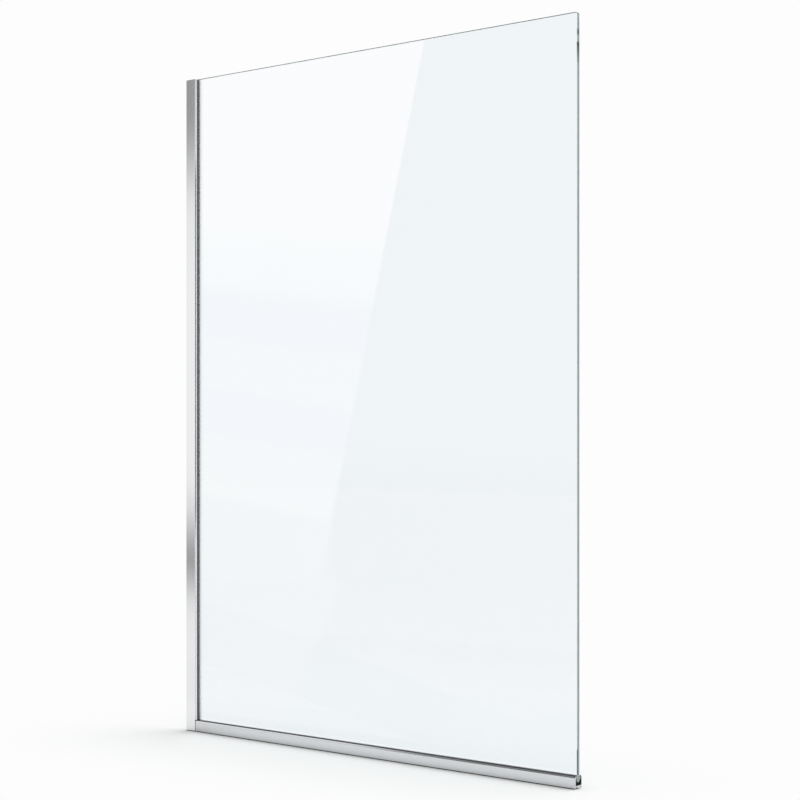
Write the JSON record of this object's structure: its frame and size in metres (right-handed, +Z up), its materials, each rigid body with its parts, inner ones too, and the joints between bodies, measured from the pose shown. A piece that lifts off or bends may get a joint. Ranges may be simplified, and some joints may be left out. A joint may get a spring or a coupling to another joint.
{
  "type": "fixed glass bath screen",
  "caption": "Fixed frameless-look bath screen: a clear glass pane held in a polished wall channel that adjusts in width, on a polished bottom rail with rubber gaskets.",
  "frame": {"origin": "on the wall's face, in the middle plane of the glass, at the height of the bath's rim", "axes": "+X from the wall along the glass to its free edge, +Y towards the bath side, +Z up"},
  "size_m": [1, 0.0254, 1.4],
  "materials": {
    "polished_profile": "bright polished and anodised, chrome look",
    "chrome_cap": "chrome-plated plastic",
    "glass": "clear toughened, ground edges",
    "black_rubber": "matt EPDM",
    "clear_seal": "translucent soft PVC",
    "clear_packer": "natural rigid PVC",
    "white_nylon": "moulded nylon",
    "steel": "stainless"
  },
  "bodies": {
    "wall_side": {"wall_channel": "polished_profile", "channel_top_cap": "chrome_cap", "channel_foot_plug": "black_rubber", "clamp_screws": "steel", "clamp_plates": "steel", "screw_cap_bases": "white_nylon", "screw_caps": "chrome_cap"},
    "glass_side": {"inner_profile": "polished_profile", "inner_top_cap": "chrome_cap", "profile_gasket_front": "black_rubber", "profile_seal_rear": "clear_seal", "edge_packers": "clear_packer", "glass_pane": "glass", "bottom_rail": "polished_profile", "rail_gasket_front": "black_rubber", "rail_seal_rear": "clear_seal", "rail_setting_strip": "black_rubber", "rim_seal": "black_rubber", "corner_pad_front": "black_rubber", "corner_pad_rear": "clear_seal"}
  },
  "joints": [
    {"name": "width_adjust", "type": "slide", "parent": "wall_side", "child": "glass_side", "axis": [1, 0, 0], "range_m": [0, 0.01]}
  ]
}
